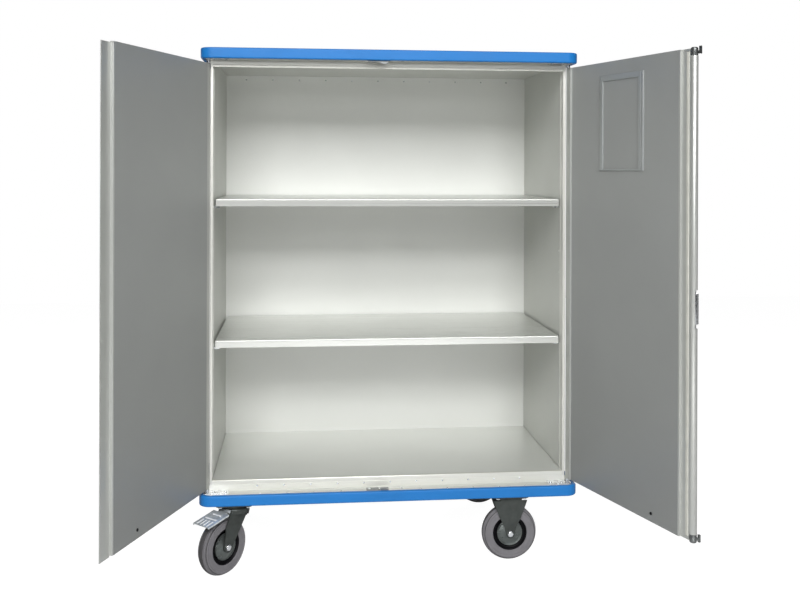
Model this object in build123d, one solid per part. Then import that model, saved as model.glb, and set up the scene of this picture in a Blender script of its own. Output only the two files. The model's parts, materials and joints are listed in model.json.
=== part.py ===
from build123d import *
import math
import os

# Lengths are millimetres. X runs along the front, Y runs into the cabinet, Z runs up from the floor.
# Drawing frame: X = 0 midway between the side walls, Y = 0 on the cabinet's front face.

# Overall
CASTER_HEIGHT = 240.0
BOX_TOP = 1840.0
SHEET = 2.0

# Bumper rails round the base and the roof
BUMPER_HALF_WIDTH = 675.0
BUMPER_FRONT = -70.0
BUMPER_REAR = 665.0
BUMPER_HEIGHT = 38.0
BUMPER_THICKNESS = 13.0
BUMPER_CORNER = 40.0
BUMPER_ROUNDING = 5.5
RAIL_GAP = 0.3

# Base and roof
LEDGE_Z = CASTER_HEIGHT + 34.0
DECK_THICKNESS = 8.0
BEARER_HALF_WIDTH = 75.0
TUBE_WIDTH = 45.0
TUBE_WALL = 3.0
CEILING_Z = CASTER_HEIGHT + 1566.0
ROOF_SHEET_BOTTOM = BOX_TOP - 8.0
ROOF_SHEET_TOP = BOX_TOP - 3.0
LEDGE_GROOVE_Y = -30.0

# Cabinet walls
WALL_OUTER = 644.0
WALL_INNER = 634.0
BACK_INNER = 625.0
BACK_OUTER = 635.0
POST_DEPTH = 35.0
POST_BEAD = 1.5
POST_BOTTOM = CASTER_HEIGHT + 55.0
POST_TOP = CASTER_HEIGHT + 1542.0
PROFILE_DEPTH = 12.0
FLOOR_Z = CASTER_HEIGHT + 72.0
HEADER_BOTTOM = CASTER_HEIGHT + 1538.0
HEADER_TOP = CASTER_HEIGHT + 1560.0
SILL_GROOVE_Z = CASTER_HEIGHT + 55.0
HEADER_GROOVE_Z = HEADER_BOTTOM + 7.0
PROFILE_LIP = 4.0
GROOVE_WIDTH = 2.0
GROOVE_DEPTH = 1.5

# Shelves and their studs
SHELF_TOPS = {"upper_shelf": CASTER_HEIGHT + 1068.5, "lower_shelf": CASTER_HEIGHT + 562.0}
SHELF_HEIGHT = 26.0
SHELF_HALF_WIDTH = 626.0
SHELF_FRONT = 30.0
SHELF_BACK = 615.0
SHELF_BEAD = 3.2
STUD_COLUMNS = (55.0, 480.0)
STUD_SHANK = 3.5
SPARE_HOLE_ZS = (CASTER_HEIGHT + 797.0, CASTER_HEIGHT + 876.0)

# Rivets and screws
RIVET_HEAD = 3.4
RIVET_SHANK = 1.6
RIVET_HEIGHT = 1.4
RIVET_DEPTH = 4.0
LEDGE_RIVET_Y = -38.0
SILL_RIVET_Z = CASTER_HEIGHT + 49.0
BACK_RIVET_Z = CASTER_HEIGHT + 1549.5
SILL_RIVET_PITCH = 95.0
SILL_RIVET_COUNT = 11
BACK_RIVET_PITCH = 110.5
BACK_RIVET_COUNT = 11
SCREW_HEAD = 5.0
SCREW_SHANK = 2.5
SCREW_HEIGHT = 2.6
SCREW_DEPTH = 6.0
LONE_SCREW = (37.0, -30.0)

# Door hinges
HINGE_X = 650.0
HINGE_Y = -8.5
KNUCKLE = 6.5
PIN = 4.0
PIN_CLEARANCE = 0.05
PIN_REACH = 25.0
DOOR_BOTTOM = CASTER_HEIGHT + 47.0
DOOR_TOP = CASTER_HEIGHT + 1549.0
BRACKET_THICKNESS = 4.0
BRACKET_X = (575.0, 658.0)
BRACKET_Y = (-40.0, -1.0)
BRACKET_SCREW_XS = (585.0, 625.0)
BRACKET_SCREW_Y = -22.0
LEFT_OPEN = -111.0
RIGHT_OPEN = 107.8

# Keepers on the base and under the roof, each with a wedge tooth along its front
KEEPER_X = (-88.0, -8.0)
KEEPER_Y = (-54.0, -18.0)
KEEPER_THICKNESS = 3.0
KEEPER_SCREWS = [(-78.0, -34.0), (-40.0, -34.0)]
TOOTH_X = (-38.0, -20.0, -12.0)
TOOTH_Y = (-56.5, -54.0)
TOOTH_HEIGHT = 11.5
ROOF_TOOTH_HEIGHT = 15.0
ROOF_FLANGE_HEIGHT = 9.5
ROOF_WEDGE_START = -51.0
TOOTH_TOE = (5.0, 4.0)

# Left door, drawn closed
LEFT_BACK, LEFT_FACE = -2.0, -15.0
LEFT_HINGE_WIDTH = 20.0
LEFT_EDGE_X = -33.0
LEFT_STEP_X = -27.0
LEFT_LIP_X = 24.0
LIP_THICKNESS = 2.5
LIP_BOTTOM = CASTER_HEIGHT + 42.0
LIP_TOP = CASTER_HEIGHT + 1546.0

# Right door, drawn closed: it laps over the left door's lip
RIGHT_BACK, RIGHT_FACE = -9.0, -22.0
RIGHT_HINGE_WIDTH = 24.0
RIGHT_EDGE_X = 37.5
RIGHT_STEP_X = 31.5
STRIP_BACK = -17.0
GASKET_X = (-2.0, 10.0)
GASKET_PROUD = 1.7
GASKET_Z = (CASTER_HEIGHT + 59.0, CASTER_HEIGHT + 1540.0)

# Rubber stops near the foot of both doors
STOP_X = 166.0
STOP_Z = CASTER_HEIGHT + 74.0
STOP_RADIUS = 5.0
STOP_PROUD = 1.8

# Turning rod lock on the right door
ROD_X, ROD_Y = -13.0, -27.0
ROD = 7.0
ROD_Z = (CASTER_HEIGHT + 46.0, CASTER_HEIGHT + 1548.0)
HOUSING_OUTER = 11.5
HOUSING_BORE = 9.5
HOUSING_Z = (CASTER_HEIGHT + 67.0, CASTER_HEIGHT + 1527.0)
GUIDE_LENGTH = 20.0
WINDOW_Z = (CASTER_HEIGHT + 694.0, CASTER_HEIGHT + 812.0)

# Cams on the rod's ends: hub, arm and the finger that stands behind the keeper's tooth
CAM_HUB = 11.0
CAM_HALF_WIDTH = 4.0
CAM_ROUNDING = 5.0
FINGER_REACH = 26.0
FINGER_INNER = 20.5
TOP_HUB_Z = (CASTER_HEIGHT + 1528.0, CASTER_HEIGHT + 1553.0)
TOP_ARM_Z = (CASTER_HEIGHT + 1534.0, CASTER_HEIGHT + 1543.0)
TOP_FINGER_Z = (CASTER_HEIGHT + 1534.0, CASTER_HEIGHT + 1558.5)
BOTTOM_HUB_Z = (CASTER_HEIGHT + 41.0, CASTER_HEIGHT + 66.0)
BOTTOM_ARM_Z = (CASTER_HEIGHT + 46.0, CASTER_HEIGHT + 54.0)
BOTTOM_FINGER_Z = (CASTER_HEIGHT + 38.8, CASTER_HEIGHT + 62.0)

# Lock handle: boss in the window and a cranked lever along the door
HANDLE_Z = (CASTER_HEIGHT + 706.0, CASTER_HEIGHT + 800.0)
HANDLE_ARM_X = (-2.0, 10.0)
LEVER_LENGTH = 150.0
LEVER_HALF_HEIGHT = 14.0
LEVER_ROUNDING = 13.0
LEVER_NEAR_Y = (-17.0, -9.0)
LEVER_FAR_Y = (-25.0, -17.0)
LEVER_CRANK_X = (22.0, 34.0)

# Card holder on the right door, measured from the hinge
CARD_NEAR, CARD_FAR = 203.0, 441.0
CARD_Z = (CASTER_HEIGHT + 1175.0, CASTER_HEIGHT + 1502.0)
CARD_THICKNESS = 4.0
CARD_RAILS_X = (25.0, 16.0)
CARD_RAILS_Z = (5.0, 19.0)
CARD_GROOVE = 11.5

# Casters: place of the swivel or fork axis and the heading of the trail
WHEEL = 100.0
TYRE_WIDTH = 46.0
RIM = 62.0
HUB_LENGTH = 50.0
AXLE = 6.0
AXLE_CLEARANCE = 0.05
FORK_INNER = 27.0
FORK_OUTER = 31.5
TRAIL = 60.0
PLATE_TOP = CASTER_HEIGHT
PLATE_THICKNESS = 5.0
FIXED_X = 434.0
SWIVEL_X = -553.0
FRONT_Y = -6.0
REAR_Y = 595.0
CASTERS = {
    "front_left": (SWIVEL_X, FRONT_Y, -133.0, TRAIL),
    "rear_left": (SWIVEL_X, REAR_Y, -90.0, TRAIL),
    "front_right": (FIXED_X, FRONT_Y, 0.0, 0.0),
    "rear_right": (FIXED_X, REAR_Y, 0.0, 0.0),
}
KINGPIN = 8.0
KINGPIN_NUT = 13.0
KINGPIN_Z = (200.0, 228.0)
RACE_CUP = 46.0
RACE_BOTTOM = 227.0
CROWN = 52.0
CROWN_Z = (208.0, 226.0)
CROWN_ROUNDING = 5.0
PEDAL_PIVOT = (38.0, 214.0)
PEDAL_PIN = 4.0
PEDAL_BARREL = 7.0
PEDAL_BEND = 64.0
PEDAL_TIP = 158.0
PEDAL_TIP_Z = 198.0
PEDAL_NECK = 20.0
PEDAL_HALF_WIDTH = 39.0
PEDAL_SHEET = 2.5
PEDAL_SKIRT = 6.0
SHOE_X = (72.0, 84.0)
SHOE_Z = (205.2, 213.4)
SHOE_HALF_WIDTH = 16.0
BOLT_XY = (48.0, 43.0)
BOLT_HEAD = 8.0
BOLT_HEIGHT = 6.0
AXLE_HEAD = 10.5
AXLE_HEAD_HEIGHT = 7.0
FIXED_WAIST = 36.5
FIXED_WINGS = [(62.0, 220.0), (52.0, 192.0), (36.0, 152.0), (22.0, 126.0)]
FIXED_FOOT = 16.0
SWIVEL_FOOT = 18.0

# Wheel half sections, as radius and distance from the middle plane
TREAD_STEPS = [(92.0, 20.0), (98.0, 11.0), (WHEEL, 4.0)]
HUB = 20.0
WEB = 52.0
WEB_FACE = 19.0
CUP_FACE = 15.0
RIM_FACE = 21.0


def slab(x, y, z):
    """A box between pairs of limits."""
    size = (x[1] - x[0], y[1] - y[0], z[1] - z[0])
    return Pos((x[0] + x[1]) / 2, (y[0] + y[1]) / 2, (z[0] + z[1]) / 2) * Box(*size)


def side_slab(side, x, y, z):
    """A box given for the right side, on either side of the middle plane."""
    return slab(tuple(sorted((side * x[0], side * x[1]))), y, z)


def rod(start, end, radius):
    """A round bar from one point to another."""
    axis = Vector(*end) - Vector(*start)
    plane = Plane(origin=start, z_dir=axis)
    return plane * Cylinder(radius, axis.length, align=(Align.CENTER, Align.CENTER, Align.MIN))


def upright(x, y, z, radius):
    """A vertical round bar between the two heights in z."""
    return rod((x, y, z[0]), (x, y, z[1]), radius)


def prism(points, reach):
    """A straight prism on a flat polygon of 3-D points."""
    face = make_face(Polyline(*points, close=True))
    return extrude(face, amount=Vector(*reach).length, dir=Vector(*reach))


def prism_x(points, x):
    return prism([(x[0], y, z) for y, z in points], (x[1] - x[0], 0, 0))


def prism_y(points, y):
    return prism([(x, y[0], z) for x, z in points], (0, y[1] - y[0], 0))


def prism_z(points, z):
    return prism([(x, y, z[0]) for x, y in points], (0, 0, z[1] - z[0]))


def rounded_plate(inset, z):
    """A plate with the bumper's outline, moved inwards by inset."""
    width = 2 * (BUMPER_HALF_WIDTH - inset)
    depth = BUMPER_REAR - BUMPER_FRONT - 2 * inset
    outline = RectangleRounded(width, depth, BUMPER_CORNER - inset)
    return extrude(Pos(0, (BUMPER_FRONT + BUMPER_REAR) / 2, z[0]) * outline, z[1] - z[0])


def group(solids):
    """Separate solids kept in one node."""
    return Compound(children=[s for item in solids for s in item.solids()])


def button(radius, height, shank, depth):
    """A rounded head on Z = 0 with its shank below."""
    head = Cylinder(radius, height, align=(Align.CENTER, Align.CENTER, Align.MIN))
    head = fillet(head.faces().sort_by(Axis.Z)[-1].edges(), height * 0.6)
    return head + rod((0, 0, -depth), (0, 0, height), shank)


def set_at(tool, place, direction):
    return Plane(origin=place, z_dir=direction) * tool


# --- base and roof -------------------------------------------------------------------------------


def bumper(bottom):
    z = (bottom, bottom + BUMPER_HEIGHT)
    rail = rounded_plate(0, z)
    rims = rail.faces().sort_by(Axis.Z)[-1].edges() + rail.faces().sort_by(Axis.Z)[0].edges()
    return fillet(rims, BUMPER_ROUNDING) - rounded_plate(BUMPER_THICKNESS, z)


def tube_ring(z, width):
    """A rectangular tube welded into a ring inside the bumper."""
    inset = BUMPER_THICKNESS + RAIL_GAP
    x = BUMPER_HALF_WIDTH - inset - width
    y = (BUMPER_FRONT + inset + width, BUMPER_REAR - inset - width)
    ring = rounded_plate(inset, z) - slab((-x, x), y, z)
    hollow_z = (z[0] + TUBE_WALL, z[1] - TUBE_WALL)
    outer = rounded_plate(inset + TUBE_WALL, hollow_z)
    wall_y = (y[0] - TUBE_WALL, y[1] + TUBE_WALL)
    core = slab((-x - TUBE_WALL, x + TUBE_WALL), wall_y, hollow_z)
    return ring - (outer - core)


def base_frame():
    """Welded ring with two cross bearers, drilled for the caster bolts."""
    z = (CASTER_HEIGHT, LEDGE_Z - DECK_THICKNESS)
    inset = BUMPER_THICKNESS + RAIL_GAP + TUBE_WIDTH
    frame = tube_ring(z, TUBE_WIDTH)
    y = (BUMPER_FRONT + inset, BUMPER_REAR - inset)
    for x in (SWIVEL_X, FIXED_X):
        limit = BUMPER_HALF_WIDTH - inset
        span = (max(x - BEARER_HALF_WIDTH, -limit), x + BEARER_HALF_WIDTH)
        hollow = ((span[0] + TUBE_WALL, span[1] - TUBE_WALL), y, (z[0] + TUBE_WALL, z[1] - TUBE_WALL))
        frame += slab(span, y, z) - slab(*hollow)
    for hole in caster_bolt_places():
        frame -= upright(*hole, (CASTER_HEIGHT - 1, CASTER_HEIGHT + 8), SCREW_HEAD)
    return frame


def base_deck():
    """Deck plate with its drip groove and the holes for brackets, keeper and rivets."""
    z = (LEDGE_Z - DECK_THICKNESS, LEDGE_Z)
    deck = rounded_plate(BUMPER_THICKNESS + RAIL_GAP, z)
    groove_x = BUMPER_HALF_WIDTH - 60
    groove_y = (LEDGE_GROOVE_Y - GROOVE_WIDTH / 2, LEDGE_GROOVE_Y + GROOVE_WIDTH / 2)
    deck -= slab((-groove_x, groove_x), groove_y, (LEDGE_Z - GROOVE_DEPTH, LEDGE_Z))
    for x, y in bracket_screws() + KEEPER_SCREWS + [LONE_SCREW]:
        deck -= upright(x, y, (LEDGE_Z - SCREW_DEPTH, LEDGE_Z), SCREW_SHANK)
    for x in ledge_rivet_xs():
        deck -= upright(x, LEDGE_RIVET_Y, (LEDGE_Z - RIVET_DEPTH, LEDGE_Z), RIVET_SHANK)
    for side in (-1, 1):
        deck -= upright(side * HINGE_X, HINGE_Y, (LEDGE_Z - 4, LEDGE_Z), PIN)
    return deck


def roof_deck():
    deck = rounded_plate(BUMPER_THICKNESS + RAIL_GAP, (CEILING_Z, CEILING_Z + DECK_THICKNESS))
    for x, y in bracket_screws() + KEEPER_SCREWS + [LONE_SCREW]:
        deck -= upright(x, y, (CEILING_Z, CEILING_Z + SCREW_DEPTH), SCREW_SHANK)
    for side in (-1, 1):
        deck -= upright(side * HINGE_X, HINGE_Y, (CEILING_Z, CEILING_Z + 4), PIN)
    return deck


# --- cabinet -------------------------------------------------------------------------------------


def sill_rivet_xs():
    first = -SILL_RIVET_PITCH * (SILL_RIVET_COUNT - 1) / 2
    return [first + SILL_RIVET_PITCH * i for i in range(SILL_RIVET_COUNT)]


def ledge_rivet_xs():
    """The ledge's rivets stop either side of the keeper."""
    return [x + 12 for x in sill_rivet_xs() if not KEEPER_X[0] - 12 < x + 12 < 60]


def back_rivet_xs():
    first = -BACK_RIVET_PITCH * (BACK_RIVET_COUNT - 1) / 2
    return [first + BACK_RIVET_PITCH * i for i in range(BACK_RIVET_COUNT)]


def sill_profile():
    """Front threshold with a rounded lip, full width under the posts."""
    bar = slab((-WALL_INNER, WALL_INNER), (0, PROFILE_DEPTH), (LEDGE_Z, FLOOR_Z))
    lip = bar.edges().filter_by(Axis.X).group_by(Axis.Z)[-1].sort_by(Axis.Y)[0]
    bar = fillet(lip, PROFILE_LIP)
    for side in (-1, 1):
        bar += side_slab(side, (WALL_INNER, WALL_OUTER), (0, POST_DEPTH), (LEDGE_Z, POST_BOTTOM))
    bar -= slab((-WALL_OUTER, WALL_OUTER), (0, GROOVE_DEPTH), (SILL_GROOVE_Z, SILL_GROOVE_Z + GROOVE_WIDTH))
    for x in sill_rivet_xs():
        bar -= rod((x, 0, SILL_RIVET_Z), (x, RIVET_DEPTH, SILL_RIVET_Z), RIVET_SHANK)
    return bar


def header_profile():
    """Front top rail with a shadow gap above its face."""
    points = [
        (0, HEADER_BOTTOM),
        (PROFILE_DEPTH, HEADER_BOTTOM),
        (PROFILE_DEPTH, CEILING_Z),
        (PROFILE_LIP, CEILING_Z),
        (PROFILE_LIP, HEADER_TOP),
        (0, HEADER_TOP),
    ]
    bar = prism_x(points, (-WALL_INNER, WALL_INNER))
    groove_z = (HEADER_GROOVE_Z, HEADER_GROOVE_Z + GROOVE_WIDTH)
    bar -= slab((-WALL_INNER, WALL_INNER), (0, GROOVE_DEPTH), groove_z)
    for side in (-1, 1):
        bar += side_slab(side, (WALL_INNER, WALL_OUTER), (0, POST_DEPTH), (POST_TOP, CEILING_Z))
    return bar


def floor_panel():
    """Folded floor tray with two stiffening ribs underneath."""
    limit = WALL_INNER - POST_BEAD
    x, y, z = (-limit, limit), (PROFILE_DEPTH, BACK_INNER), (LEDGE_Z, FLOOR_Z)
    inner_x = (x[0] + SHEET, x[1] - SHEET)
    inner_y = (y[0] + SHEET, y[1] - SHEET)
    tray = slab(x, y, z) - slab(inner_x, inner_y, (z[0], z[1] - SHEET))
    for rib in (-WALL_INNER / 3, WALL_INNER / 3):
        tray += slab((rib - SHEET, rib + SHEET), y, z)
    return tray


def front_post(side):
    """Extruded corner post: front bead, shadow groove and inner bead."""
    section = [
        (WALL_INNER, 0),
        (WALL_OUTER, 0),
        (WALL_OUTER, POST_DEPTH),
        (WALL_INNER - POST_BEAD, POST_DEPTH),
        (WALL_INNER - POST_BEAD, POST_DEPTH - 4),
        (WALL_INNER, POST_DEPTH - 4),
        (WALL_INNER, 11),
        (WALL_INNER + 2, 11),
        (WALL_INNER + 2, 8),
        (WALL_INNER, 8),
    ]
    post = prism_z([(side * x, y) for x, y in section], (POST_BOTTOM, POST_TOP))
    corner = post.edges().filter_by(Axis.Z).sort_by(lambda e: -side * e.center().X + e.center().Y)[0]
    return fillet(corner, 2.9)


def side_panel(side):
    """Side wall with the peg holes for the shelf studs."""
    wall = side_slab(side, (WALL_INNER, WALL_OUTER), (POST_DEPTH, BACK_INNER), (LEDGE_Z, CEILING_Z))
    for y in STUD_COLUMNS:
        for top in SHELF_TOPS.values():
            z = top - SHELF_HEIGHT - STUD_SHANK
            wall -= rod((side * WALL_INNER, y, z), (side * (WALL_INNER + 6), y, z), STUD_SHANK)
        for z in SPARE_HOLE_ZS:
            wall -= rod((side * WALL_INNER, y, z), (side * (WALL_INNER + 6), y, z), STUD_SHANK)
    return wall


def back_panel():
    panel = slab((-WALL_INNER, WALL_INNER), (BACK_INNER, BACK_OUTER), (LEDGE_Z, CEILING_Z))
    for x in back_rivet_xs():
        panel -= rod((x, BACK_INNER, BACK_RIVET_Z), (x, BACK_INNER + RIVET_DEPTH, BACK_RIVET_Z), RIVET_SHANK)
    return panel


def rear_post(side):
    post = side_slab(side, (WALL_INNER, WALL_OUTER), (BACK_INNER, BACK_OUTER), (LEDGE_Z, CEILING_Z))
    corner = post.edges().filter_by(Axis.Z).sort_by(lambda e: -side * e.center().X - e.center().Y)[0]
    return fillet(corner, 6.0)


def sill_rivets():
    rivet = button(RIVET_HEAD, RIVET_HEIGHT, RIVET_SHANK, RIVET_DEPTH)
    faces = [set_at(rivet, (x, 0, SILL_RIVET_Z), (0, -1, 0)) for x in sill_rivet_xs()]
    return group(faces + [set_at(rivet, (x, LEDGE_RIVET_Y, LEDGE_Z), (0, 0, 1)) for x in ledge_rivet_xs()])


def back_rivets():
    rivet = button(RIVET_HEAD, RIVET_HEIGHT, RIVET_SHANK, RIVET_DEPTH)
    return group([set_at(rivet, (x, BACK_INNER, BACK_RIVET_Z), (0, -1, 0)) for x in back_rivet_xs()])


def shelf(top):
    """Folded shelf tray with a rounded front bead and end caps."""
    x, y = (-SHELF_HALF_WIDTH, SHELF_HALF_WIDTH), (SHELF_FRONT, SHELF_BACK)
    z = (top - SHELF_HEIGHT, top)
    inner_x = (x[0] + SHEET, x[1] - SHEET)
    inner_y = (y[0] + SHEET, y[1] - SHEET)
    tray = slab(x, y, z) - slab(inner_x, inner_y, (z[0], z[1] - SHEET))
    bead_y = SHELF_FRONT + SHELF_BEAD - 1.5
    tray += rod((x[0], bead_y, top - SHELF_BEAD), (x[1], bead_y, top - SHELF_BEAD), SHELF_BEAD)
    for side in (-1, 1):
        cap_x = (SHELF_HALF_WIDTH - 4, SHELF_HALF_WIDTH)
        tray += side_slab(side, cap_x, (SHELF_FRONT - 2, SHELF_FRONT + 6), (z[0], z[1] - 1))
    return tray


def shelf_studs():
    """Flat-topped pegs plugged into the side walls, four under each shelf."""
    studs = []
    for top in SHELF_TOPS.values():
        seat_z = (top - SHELF_HEIGHT - 2 * STUD_SHANK, top - SHELF_HEIGHT)
        for y in STUD_COLUMNS:
            for side in (-1, 1):
                seat = side_slab(side, (WALL_INNER - 20, WALL_INNER), (y - 7, y + 7), seat_z)
                z = seat_z[1] - STUD_SHANK
                shank = rod((side * (WALL_INNER - 1), y, z), (side * (WALL_INNER + 6), y, z), STUD_SHANK)
                studs.append(seat + shank)
    return group(studs)


# --- hinges, keepers and their screws ------------------------------------------------------------


def bracket_screws():
    return [(side * x, BRACKET_SCREW_Y) for side in (-1, 1) for x in BRACKET_SCREW_XS]


def hinge_brackets():
    plates = []
    for z in ((LEDGE_Z, LEDGE_Z + BRACKET_THICKNESS), (CEILING_Z - BRACKET_THICKNESS, CEILING_Z)):
        for side in (-1, 1):
            plate = side_slab(side, BRACKET_X, BRACKET_Y, z)
            plate -= upright(side * HINGE_X, HINGE_Y, z, PIN)
            for x in BRACKET_SCREW_XS:
                plate -= upright(side * x, BRACKET_SCREW_Y, z, SCREW_SHANK)
            plates.append(plate)
    return group(plates)


def hinge_pins():
    """Pins in the brackets with a collar that carries the door."""
    pins = []
    for side in (-1, 1):
        x = side * HINGE_X
        low = upright(x, HINGE_Y, (LEDGE_Z - 4, DOOR_BOTTOM + PIN_REACH), PIN)
        low += upright(x, HINGE_Y, (LEDGE_Z + BRACKET_THICKNESS, DOOR_BOTTOM - 0.2), KNUCKLE)
        high = upright(x, HINGE_Y, (DOOR_TOP - PIN_REACH, CEILING_Z + 4), PIN)
        high += upright(x, HINGE_Y, (DOOR_TOP + 1.0, CEILING_Z - BRACKET_THICKNESS), KNUCKLE)
        pins += [low, high]
    return group(pins)


def keeper(ledge, up):
    """Plate on a ledge with a wedge tooth along its front; up is 1 on the base and -1 under the roof.

    The one under the roof has its front edge turned down into a flange that runs into the tooth.
    """
    def span(near, far):
        return tuple(sorted((ledge + up * near, ledge + up * far)))

    plate = slab(KEEPER_X, KEEPER_Y, span(0, KEEPER_THICKNESS))
    start, crest, toe = TOOTH_X
    if up > 0:
        wedge = [(start, 0), (start, TOOTH_HEIGHT), (crest, TOOTH_HEIGHT)]
    else:
        wedge = [(KEEPER_X[0], 0), (KEEPER_X[0], ROOF_FLANGE_HEIGHT), (ROOF_WEDGE_START, ROOF_FLANGE_HEIGHT)]
        wedge += [(start, ROOF_TOOTH_HEIGHT), (crest, ROOF_TOOTH_HEIGHT)]
    wedge += [(toe, TOOTH_TOE[0]), (KEEPER_X[1], TOOTH_TOE[1]), (KEEPER_X[1], 0)]
    plate += prism_y([(x, ledge + up * z) for x, z in wedge], TOOTH_Y)
    for x, y in KEEPER_SCREWS:
        plate -= upright(x, y, span(0, KEEPER_THICKNESS), SCREW_SHANK)
    return plate


def frame_screws():
    """Button-head screws of the brackets, the keepers and the two lone ones beside the keepers."""
    screws = []
    for ledge, up in ((LEDGE_Z, 1), (CEILING_Z, -1)):
        for (x, y), lift in (
            [(place, BRACKET_THICKNESS) for place in bracket_screws()]
            + [(place, KEEPER_THICKNESS) for place in KEEPER_SCREWS]
            + [(LONE_SCREW, 0.0)]
        ):
            screw = button(SCREW_HEAD, SCREW_HEIGHT, SCREW_SHANK, lift + SCREW_DEPTH)
            screws.append(set_at(screw, (x, y, ledge + up * lift), (0, 0, up)))
    return group(screws)


# --- doors, drawn closed and then swung open -----------------------------------------------------


def swing_left(piece):
    return piece.rotate(Axis((-HINGE_X, HINGE_Y, 0), (0, 0, 1)), LEFT_OPEN)


def swing_right(piece):
    return piece.rotate(Axis((HINGE_X, HINGE_Y, 0), (0, 0, 1)), RIGHT_OPEN)


def hinge_profile(side, width, outline):
    """Knuckle and web along the door's hinge edge, bored at both ends for the pins."""
    z = (DOOR_BOTTOM, DOOR_TOP)
    profile = upright(side * HINGE_X, HINGE_Y, z, KNUCKLE)
    web = (HINGE_X - width, HINGE_X)
    profile += side_slab(side, web, outline, z)
    bore = PIN + PIN_CLEARANCE
    profile -= upright(side * HINGE_X, HINGE_Y, (z[0], z[0] + PIN_REACH + 2), bore)
    profile -= upright(side * HINGE_X, HINGE_Y, (z[1] - PIN_REACH - 2, z[1]), bore)
    return profile


def left_door_panel():
    x = (-HINGE_X + LEFT_HINGE_WIDTH, LEFT_EDGE_X)
    return slab(x, (LEFT_FACE, LEFT_BACK), (DOOR_BOTTOM, DOOR_TOP))


def left_door_edge():
    """End profile with the thin lip that the right door laps over."""
    edge = slab((LEFT_EDGE_X, LEFT_STEP_X), (LEFT_FACE, LEFT_BACK), (DOOR_BOTTOM, DOOR_TOP))
    lip_y = (LEFT_FACE, LEFT_FACE + LIP_THICKNESS)
    return edge + slab((LEFT_STEP_X - 1, LEFT_LIP_X), lip_y, (LIP_BOTTOM, LIP_TOP))


def right_door_panel():
    x = (RIGHT_EDGE_X, HINGE_X - RIGHT_HINGE_WIDTH)
    return slab(x, (RIGHT_FACE, RIGHT_BACK), (DOOR_BOTTOM, DOOR_TOP))


def right_door_edge():
    """End profile, lap strip and rod housing in one extrusion, with the handle window cut out."""
    edge = slab((RIGHT_STEP_X, RIGHT_EDGE_X), (RIGHT_FACE, RIGHT_BACK), (DOOR_BOTTOM, DOOR_TOP))
    edge += slab((ROD_X + 6, RIGHT_STEP_X), (RIGHT_FACE, STRIP_BACK), (DOOR_BOTTOM, DOOR_TOP))
    edge += upright(ROD_X, ROD_Y, HOUSING_Z, HOUSING_OUTER)
    past_x = (ROD_X - HOUSING_OUTER - 1, ROD_X + HOUSING_OUTER)
    edge -= slab(past_x, (ROD_Y - HOUSING_OUTER - 1, ROD_Y + 4), WINDOW_Z)
    end_cut = CAM_HUB + 1
    for z in ((DOOR_BOTTOM, HOUSING_Z[0]), (HOUSING_Z[1], DOOR_TOP)):
        edge -= upright(ROD_X, ROD_Y, z, end_cut)
    return edge - upright(ROD_X, ROD_Y, (DOOR_BOTTOM, DOOR_TOP), HOUSING_BORE)


def right_door_gasket():
    """Rubber strip that presses on the left door's lip."""
    strip = slab(GASKET_X, (STRIP_BACK, STRIP_BACK + GASKET_PROUD), GASKET_Z)
    lips = strip.edges().filter_by(Axis.Z).group_by(Axis.Y)[-1]
    return fillet(lips, 1.2)


def card_holder():
    """Open frame of flat rails that holds a sheet of paper on the door's inner face."""
    y = (RIGHT_BACK, RIGHT_BACK + CARD_THICKNESS)
    left, right = HINGE_X - CARD_FAR, HINGE_X - CARD_NEAR
    window_x = (left + CARD_RAILS_X[0], right - CARD_RAILS_X[1])
    window_z = (CARD_Z[0] + CARD_RAILS_Z[0], CARD_Z[1] - CARD_RAILS_Z[1])
    frame = slab((left, right), y, CARD_Z) - slab(window_x, y, window_z)
    groove_x = (left + CARD_GROOVE - 0.8, left + CARD_GROOVE + 0.8)
    return frame - slab(groove_x, (y[1] - CARD_THICKNESS / 2, y[1]), CARD_Z)


def door_stop(x, y):
    """Rubber stop that meets the sill's face when its door closes."""
    return rod((x, y, STOP_Z), (x, y + STOP_PROUD, STOP_Z), STOP_RADIUS)


def rod_guides():
    """Plain bushes at both ends of the housing."""
    rings = []
    for z in ((HOUSING_Z[0], HOUSING_Z[0] + GUIDE_LENGTH), (HOUSING_Z[1] - GUIDE_LENGTH, HOUSING_Z[1])):
        ring = upright(ROD_X, ROD_Y, z, HOUSING_BORE) - upright(ROD_X, ROD_Y, z, ROD + PIN_CLEARANCE)
        rings.append(ring)
    return group(rings)


def lock_rod():
    return upright(ROD_X, ROD_Y, ROD_Z, ROD)


def cam(hub_z, arm_z, finger_z, outer_end):
    """Hub on the rod with an outward arm and a finger; outer_end is -1 for the hub's top, 0 for its foot."""
    hub = upright(ROD_X, ROD_Y, hub_z, CAM_HUB)
    hub = fillet(hub.faces().sort_by(Axis.Z)[outer_end].edges(), CAM_ROUNDING)
    hub -= upright(ROD_X, ROD_Y, ROD_Z, ROD)
    x = (ROD_X - CAM_HALF_WIDTH, ROD_X + CAM_HALF_WIDTH)
    arm = slab(x, (ROD_Y - FINGER_REACH, ROD_Y - CAM_HUB + 2), arm_z)
    return hub + arm + slab(x, (ROD_Y - FINGER_REACH, ROD_Y - FINGER_INNER), finger_z)


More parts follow.
